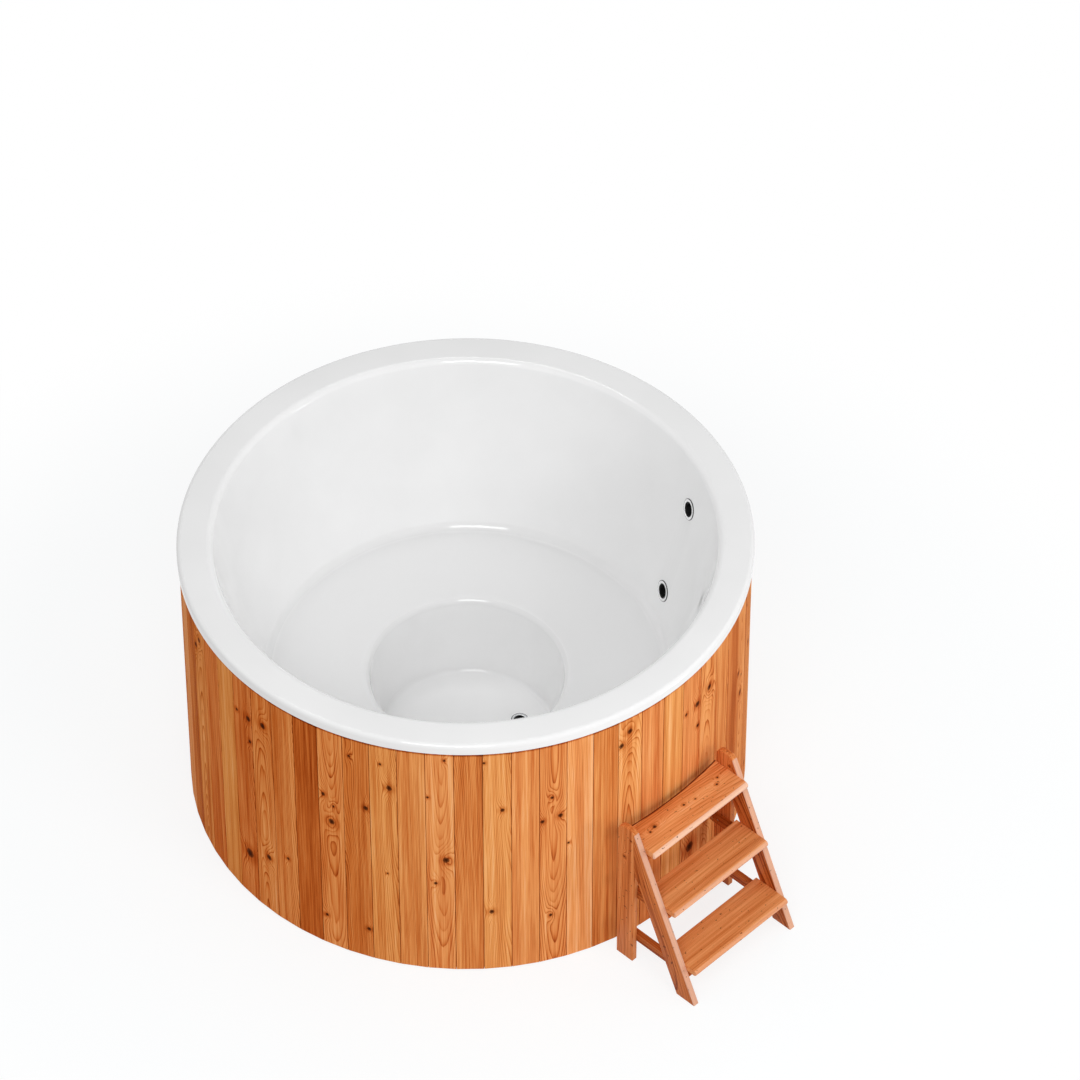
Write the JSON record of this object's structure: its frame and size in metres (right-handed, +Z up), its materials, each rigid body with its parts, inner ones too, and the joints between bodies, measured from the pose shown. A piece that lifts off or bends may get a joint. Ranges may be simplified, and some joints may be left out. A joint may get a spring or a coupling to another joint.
{
  "type": "wooden hot tub",
  "caption": "Round hot tub with a moulded white liner, upright wooden side boards, heater inlets, a floor drain with a valve, and free-standing wooden steps.",
  "frame": {"origin": "on the ground, on the axis of the tub, at the underside of the middle floor beam", "axes": "+Z up; -Y towards the side that the picture is taken from; the steps stand towards +X and -Y"},
  "size_m": [1.932, 1.9427, 1.0303],
  "materials": {
    "gelcoat": "polished white gel coat",
    "board_wood": "oiled heat-treated softwood",
    "ring_timber": "sawn pine",
    "post_timber": "sawn pine",
    "joist_timber": "sawn pine",
    "deck_ply": "plywood",
    "beam_timber": "pressure-treated pine",
    "stainless": "polished stainless steel",
    "rubber": "matt",
    "nut_plastic": "moulded",
    "pipe_black": "extruded",
    "drain_pvc": "grey extruded pipe",
    "valve_plastic": "moulded",
    "seat_plastic": "white seal",
    "valve_metal": "plated",
    "lever_steel": "zinc plated",
    "grip_plastic": "dipped",
    "leg_wood": "oiled heat-treated softwood",
    "stringer_wood": "oiled heat-treated softwood",
    "top_tread_wood": "oiled heat-treated softwood",
    "middle_tread_wood": "oiled heat-treated softwood",
    "bottom_tread_wood": "oiled heat-treated softwood",
    "bearer_wood": "oiled heat-treated softwood",
    "screw_steel": "stainless screws"
  },
  "bodies": {
    "tub": {"liner": "gelcoat", "side_boards": "board_wood", "upper_ring": "ring_timber", "middle_ring": "ring_timber", "lower_ring": "ring_timber", "posts": "post_timber", "bench_joists": "joist_timber", "bench_legs": "post_timber", "base_deck": "deck_ply", "floor_beams": "beam_timber", "upper_inlet_sleeve": "stainless", "upper_inlet_gasket": "rubber", "upper_inlet_nut": "nut_plastic", "upper_hose_pipe": "pipe_black", "lower_inlet_sleeve": "stainless", "lower_inlet_gasket": "rubber", "lower_inlet_nut": "nut_plastic", "lower_hose_pipe": "pipe_black", "drain_sleeve": "stainless", "drain_gasket": "rubber", "drain_nut": "nut_plastic", "drain_elbow": "drain_pvc", "drain_pipe": "drain_pvc", "valve_barrel": "valve_plastic", "valve_inner_cap": "valve_plastic", "valve_outer_cap": "valve_plastic", "valve_seats": "seat_plastic"},
    "valve_handle": {"valve_ball": "valve_metal", "valve_stem": "valve_metal", "valve_lever": "lever_steel", "lever_grip": "grip_plastic", "lever_nut": "lever_steel"},
    "steps": {"left_leg": "leg_wood", "right_leg": "leg_wood", "left_stringer": "stringer_wood", "right_stringer": "stringer_wood", "top_tread": "top_tread_wood", "middle_tread": "middle_tread_wood", "bottom_tread": "bottom_tread_wood", "top_bearers": "bearer_wood", "middle_bearers": "bearer_wood", "bottom_bearers": "bearer_wood", "bearer_screws": "screw_steel", "tread_screws": "screw_steel"}
  },
  "joints": [
    {"name": "steps_pull_away", "type": "slide", "parent": "tub", "child": "steps", "axis": [0.7157, -0.6984, 0], "range_m": [0, 0.6]},
    {"name": "valve_turn", "type": "hinge", "parent": "tub", "child": "valve_handle", "pos_m": [0.50284, 0.81995, 0.045], "axis": [0, 0, -1], "range_deg": [0, 90]}
  ]
}
